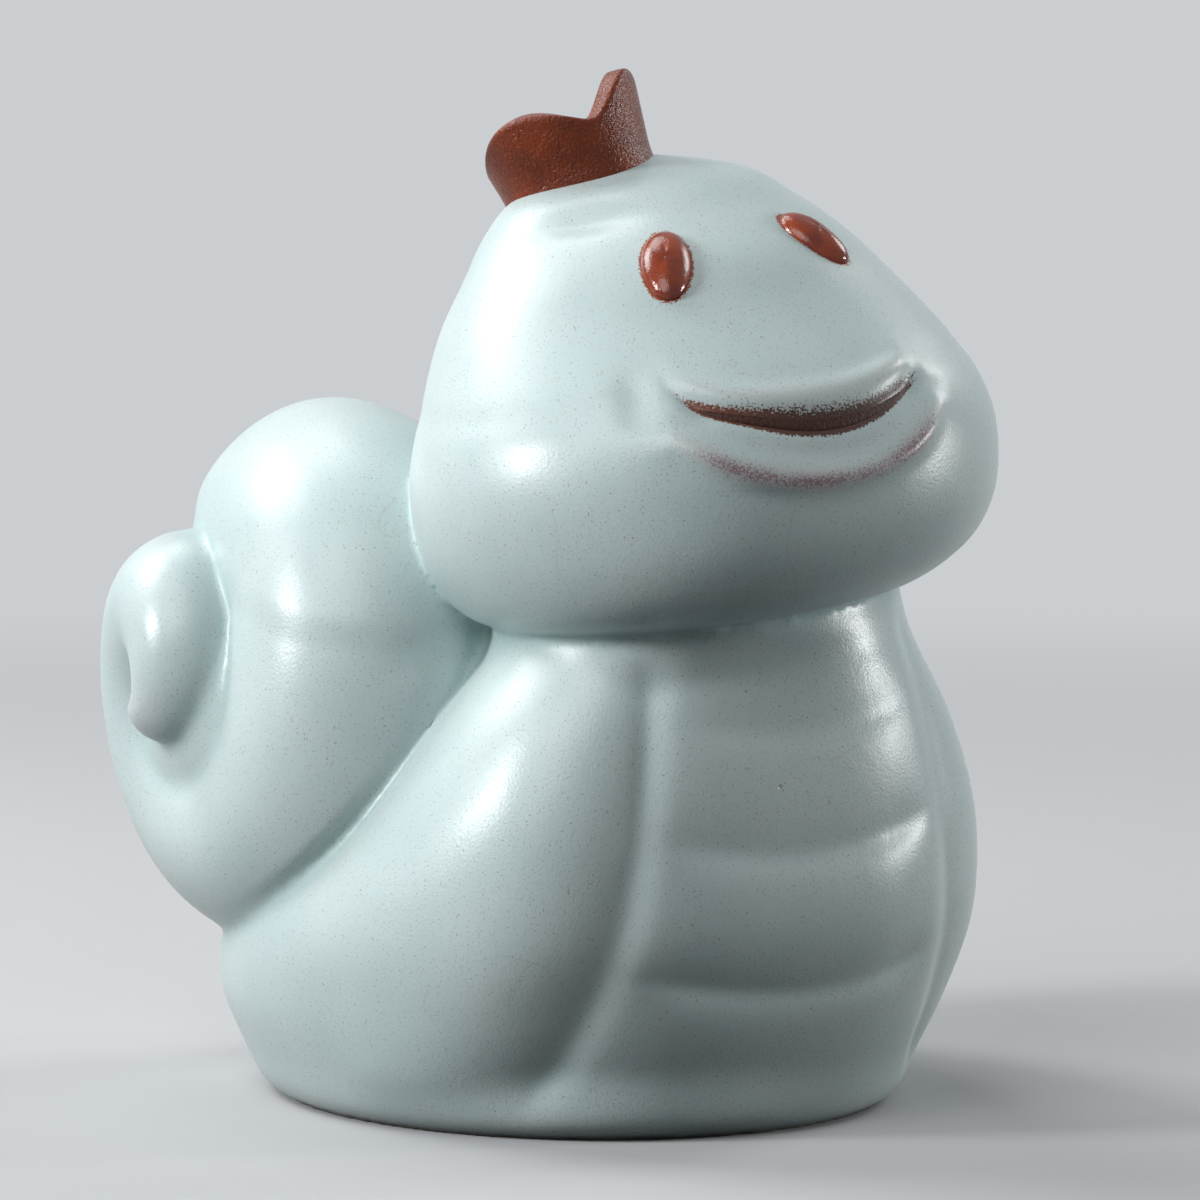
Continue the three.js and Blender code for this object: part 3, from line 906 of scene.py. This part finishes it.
def celadon_glaze():
    glaze = Finish("celadon_glaze")
    shader = glaze.shader
    thin = glaze.attribute("glaze_thin")
    clouds = glaze.noise(60, 3)
    tone = glaze.blend(glaze.spread(clouds, 0.35, 0.68), srgb(188, 206, 207), srgb(197, 212, 212))
    pooled = glaze.spread(thin, -0.35, 0.02, 0.6, 0)
    tone = glaze.blend(pooled, tone, srgb(163, 191, 190))
    worn = glaze.sum("ADD", thin, glaze.spread(glaze.noise(170, 4), 0.3, 0.7, -0.06, 0.06))
    tone = glaze.blend(glaze.spread(worn, 0.12, 0.35, 0, 0.25), tone, srgb(199, 190, 193))

    grains = glaze.spread(glaze.noise(6500, 2, 0.6), 0.3, 0.7)

    def speckled(density):
        """1 on the grains that a thin coat of slip has stained: more of them where it is denser."""
        return glaze.spread(glaze.sum("SUBTRACT", density, grains), -0.08, 0.12)

    patchy = glaze.spread(glaze.noise(160, 2), 0.25, 0.55, 0.5, 1)
    lips = glaze.sum("MULTIPLY", glaze.attribute("lip_trace"), patchy)
    tone = glaze.blend(glaze.sum("MULTIPLY", lips, 0.7), tone, srgb(170, 160, 166))
    lip_grains = speckled(glaze.sum("MULTIPLY", lips, 0.75))
    tone = glaze.blend(glaze.sum("MULTIPLY", lip_grains, lips), tone, srgb(136, 112, 116))

    # Mouth line: brown slip with a speckled upper edge, darkest in the middle and towards the right and
    # lighter at the left end. The dark middle and the strip below the roll are partly painted shade of the
    # crease under the upper lip.
    over = glaze.attribute("mouth_over")
    mouth_slip_and_shade = glaze.sum("MULTIPLY", glaze.spread(over, 0.2, 1.4, 1.1, 0), glaze.spread(over, -1.2, -0.8))
    mouth_slip_and_shade = glaze.sum("MULTIPLY", mouth_slip_and_shade, glaze.attribute("mouth_trace"))
    slip = glaze.blend(glaze.attribute("mouth_left"), srgb(54, 29, 21), srgb(108, 54, 30))
    slip = glaze.blend(glaze.sum("MULTIPLY", grains, 0.35), slip, srgb(120, 78, 60))
    tone = glaze.blend(glaze.sum("MULTIPLY", mouth_slip_and_shade, 0.35), tone, srgb(150, 120, 112))
    tone = glaze.blend(speckled(mouth_slip_and_shade), tone, slip)
    eye_edge = glaze.spread(glaze.attribute("eye_trace"), -0.14, 0.02)
    tone = glaze.blend(speckled(eye_edge), tone, srgb(140, 66, 30))

    pits = glaze.cells(420)
    chosen = glaze.sum("GREATER_THAN", pits.outputs["Color"], 0.97)
    pit = glaze.sum("MULTIPLY", glaze.spread(pits.outputs["Distance"], 0.05, 0.11, 1, 0), chosen)
    tone = glaze.blend(glaze.sum("MULTIPLY", pit, 0.4), tone, srgb(122, 114, 108))

    scratches = glaze.cells(55, "DISTANCE_TO_EDGE", bend=0.012)
    hairline = glaze.spread(scratches.outputs["Distance"], 0.001, 0.005, 1, 0)
    hairline = glaze.sum("MULTIPLY", hairline, glaze.spread(glaze.noise(45, 2), 0.52, 0.62))
    tone = glaze.blend(glaze.sum("MULTIPLY", hairline, 0.16), tone, srgb(158, 152, 148))

    bare = glaze.attribute("bare_clay")
    tone = glaze.blend(bare, tone, glaze.blend(glaze.noise(900, 4), srgb(176, 150, 126), srgb(150, 122, 98)))
    glaze.feed(shader.inputs["Base Color"], tone)
    sheen = glaze.spread(glaze.noise(240, 3), 0.3, 0.7, 0.31, 0.37)
    glaze.feed(shader.inputs["Roughness"], glaze.sum("MAXIMUM", sheen, glaze.sum("MULTIPLY", bare, 0.85)))
    waves = glaze.bump(glaze.noise(420, 3), 0.08, 0.0002)
    peel = glaze.bump(glaze.noise(4800, 2), 0.6, 0.00003, waves)
    glaze.feed(shader.inputs["Normal"], glaze.bump(glaze.sum("MULTIPLY", pit, -1), 0.5, 0.0001, peel))
    return glaze.material


def brown_slip():
    slip = Finish("brown_slip")
    shader = slip.shader
    clouds = slip.noise(260, 4)
    shader.inputs["Specular IOR Level"].default_value = 0.3
    tone = slip.blend(slip.spread(clouds, 0.3, 0.7), srgb(94, 34, 6), srgb(122, 48, 12))
    grains = slip.noise(4600, 2)
    tone = slip.blend(slip.spread(grains, 0.55, 0.75, 0, 0.5), tone, srgb(160, 74, 28))
    # On the mouth roll the slip is painted darker and rougher. It is partly the slip's own colour and partly
    # painted shade of the crease.
    darker_slip_and_shade_mask = slip.attribute("darker_slip_and_shade")
    dark_slip_and_shade_tone = slip.blend(slip.spread(grains, 0.3, 0.7), srgb(40, 20, 14), srgb(72, 38, 26))
    tone = slip.blend(darker_slip_and_shade_mask, tone, dark_slip_and_shade_tone)
    slip.feed(shader.inputs["Base Color"], tone)
    sheen = slip.spread(slip.noise(1800, 2), 0.35, 0.65, 0.24, 0.32)
    slip.feed(shader.inputs["Roughness"], slip.sum("MAXIMUM", sheen, slip.sum("MULTIPLY", darker_slip_and_shade_mask, 0.6)))
    slip.feed(shader.inputs["Normal"], slip.bump(grains, 0.8, 0.00014))
    return slip.material


def brown_bead():
    bead = Finish("brown_bead")
    shader = bead.shader
    clouds = bead.noise(520, 4)
    shader.inputs["Specular IOR Level"].default_value = 0.5
    tone = bead.blend(bead.spread(clouds, 0.35, 0.65), srgb(118, 36, 0), srgb(146, 54, 4))
    grains = bead.noise(5600, 2)
    tone = bead.blend(bead.spread(grains, 0.52, 0.72, 0, 0.55), tone, srgb(96, 32, 8))
    bead.feed(shader.inputs["Base Color"], tone)
    bead.feed(shader.inputs["Roughness"], bead.spread(clouds, 0.3, 0.7, 0.12, 0.18))
    waves = bead.bump(bead.noise(900, 3), 0.12, 0.0002)
    bead.feed(shader.inputs["Normal"], bead.bump(grains, 0.7, 0.00003, waves))
    return bead.material


glaze_look = celadon_glaze()
slip_look = brown_slip()
bead_look = brown_bead()
for piece in (body, head, coil):
    piece.data.materials.clear()
    piece.data.materials.append(glaze_look)
for piece, look in ((crown, slip_look), (mouth, slip_look), (eye_left, bead_look), (eye_right, bead_look)):
    piece.data.materials.clear()
    piece.data.materials.append(look)


# Floor, light and camera

BACKGROUND = srgb(203, 206, 209)
PAPER = srgb(190, 192, 194)
PAPER_BOUNCE = srgb(60, 62, 64)
PAPER_FADE = (0.16, 0.5)


def seen_by_eye(finish):
    """1 for rays from the camera, mirrored rays and rays through glass, and 0 for bounced light."""
    path = finish.add("ShaderNodeLightPath").outputs
    seen = finish.sum("MAXIMUM", path["Is Camera Ray"], path["Is Glossy Ray"])
    return finish.sum("MAXIMUM", seen, path["Is Transmission Ray"])


def table_top():
    sheet = bmesh.new()
    bmesh.ops.create_grid(sheet, x_segments=1, y_segments=1, size=3)
    top = bpy.data.objects.new("table_top", mesh_of("table_top", sheet))
    bpy.context.scene.collection.objects.link(top)
    paper = Finish("pale_paper")
    seen = seen_by_eye(paper)
    mottled = paper.blend(paper.spread(paper.noise(300, 3), 0.3, 0.7, 0, 0.06), PAPER, BACKGROUND)
    paper.feed(paper.shader.inputs["Base Color"], paper.blend(seen, PAPER_BOUNCE, mottled))
    paper.shader.inputs["Roughness"].default_value = 0.85
    paper.shader.inputs["Specular IOR Level"].default_value = 0.1
    away = paper.add("ShaderNodeVectorMath", operation="LENGTH")
    paper.feed(away.inputs[0], paper.place)
    glow = paper.add("ShaderNodeEmission")
    glow.inputs["Color"].default_value = BACKGROUND
    fade = paper.add("ShaderNodeMixShader")
    paper.feed(fade.inputs[0], paper.sum("MULTIPLY", seen, paper.spread(away.outputs["Value"], *PAPER_FADE)))
    paper.feed(fade.inputs[1], paper.shader.outputs[0])
    paper.feed(fade.inputs[2], glow.outputs[0])
    paper.feed(paper.nodes["Material Output"].inputs["Surface"], fade.outputs[0])
    top.data.materials.append(paper.material)
    return top


table_top()

AIM_SPOT = np.array([0.3, -0.2, 37.3])
VIEW_ANGLE = math.radians(-33)
VIEW_DISTANCE = 400
VIEW_HEIGHT = 67
SENSOR_WIDTH = 36
FOCAL_PIXELS = 5320
PICTURE_PIXELS = 1200

AIM = (AIM_SPOT + AXIS) * MM
EYE_POINT = AIM + MM * np.array([
    VIEW_DISTANCE * math.sin(VIEW_ANGLE),
    -VIEW_DISTANCE * math.cos(VIEW_ANGLE),
    VIEW_HEIGHT - AIM_SPOT[2],
])


def pointed(thing, spot, aim):
    thing.location = spot
    thing.rotation_mode = "QUATERNION"
    thing.rotation_quaternion = (Vector(aim) - Vector(spot)).to_track_quat("-Z", "Y")
    bpy.context.scene.collection.objects.link(thing)
    return thing


lens = bpy.data.cameras.new("view")
lens.sensor_width = SENSOR_WIDTH
lens.lens = SENSOR_WIDTH * FOCAL_PIXELS / PICTURE_PIXELS
lens.clip_start = 0.01
lens.clip_end = 20
bpy.context.scene.camera = pointed(bpy.data.objects.new("view", lens), EYE_POINT, AIM)

ahead = np.array([-math.sin(VIEW_ANGLE), math.cos(VIEW_ANGLE), 0])
aside = np.array([math.cos(VIEW_ANGLE), math.sin(VIEW_ANGLE), 0])

LAMP_DISTANCE = 0.62


def soft_light(name, bearing, height, size, power):
    """A round lamp: bearing 0 is the viewer's side and 90 the viewer's right, and height is an angle."""
    lamp = bpy.data.lights.new(name, "AREA")
    lamp.shape = "DISK"
    lamp.size = size
    lamp.energy = power
    turned, raised = math.radians(bearing), math.radians(height)
    level = aside * math.sin(turned) - ahead * math.cos(turned)
    spot = AIM + LAMP_DISTANCE * (level * math.cos(raised) + np.array([0, 0, math.sin(raised)]))
    return pointed(bpy.data.objects.new(name, lamp), spot, AIM)


soft_light("left", -72, 20, 0.14, 2.5)
soft_light("left_back", -114, 42, 0.3, 2.0)
soft_light("back_high", -146, 60, 0.28, 0.8)
soft_light("front", -30, 38, 0.45, 1.7)
soft_light("right", 96, 6, 0.09, 1.3)
soft_light("right_back", 122, 34, 0.26, 1.1)

SKY_LIGHT = 0.02


def studio_air():
    """Pale air for the rays that see it, and a faint light for all others."""
    sky = bpy.data.worlds.new("studio")
    sky.use_nodes = True
    air = sky.node_tree
    path = air.nodes.new("ShaderNodeLightPath")
    seen_air = air.nodes.new("ShaderNodeMath")
    seen_air.operation = "MAXIMUM"
    seen_sheen = air.nodes.new("ShaderNodeMath")
    seen_sheen.operation = "MAXIMUM"
    air.links.new(path.outputs["Is Glossy Ray"], seen_sheen.inputs[0])
    air.links.new(path.outputs["Is Transmission Ray"], seen_sheen.inputs[1])
    air.links.new(path.outputs["Is Camera Ray"], seen_air.inputs[0])
    air.links.new(seen_sheen.outputs[0], seen_air.inputs[1])
    backdrop = air.nodes["Background"]
    backdrop.inputs["Color"].default_value = srgb(236, 238, 240)
    backdrop.inputs["Strength"].default_value = SKY_LIGHT
    pale = air.nodes.new("ShaderNodeBackground")
    pale.inputs["Color"].default_value = BACKGROUND
    choice = air.nodes.new("ShaderNodeMixShader")
    air.links.new(seen_air.outputs[0], choice.inputs[0])
    air.links.new(backdrop.outputs[0], choice.inputs[1])
    air.links.new(pale.outputs[0], choice.inputs[2])
    air.links.new(choice.outputs[0], air.nodes["World Output"].inputs["Surface"])
    return sky


bpy.context.scene.world = studio_air()
bpy.context.scene.view_settings.view_transform = "Standard"

forms = (skin, body_plug, head_plug, head_region, coil_region, body_hollow, head_hollow, drain, neck_bore)
for leftover in forms:
    bpy.data.meshes.remove(leftover)
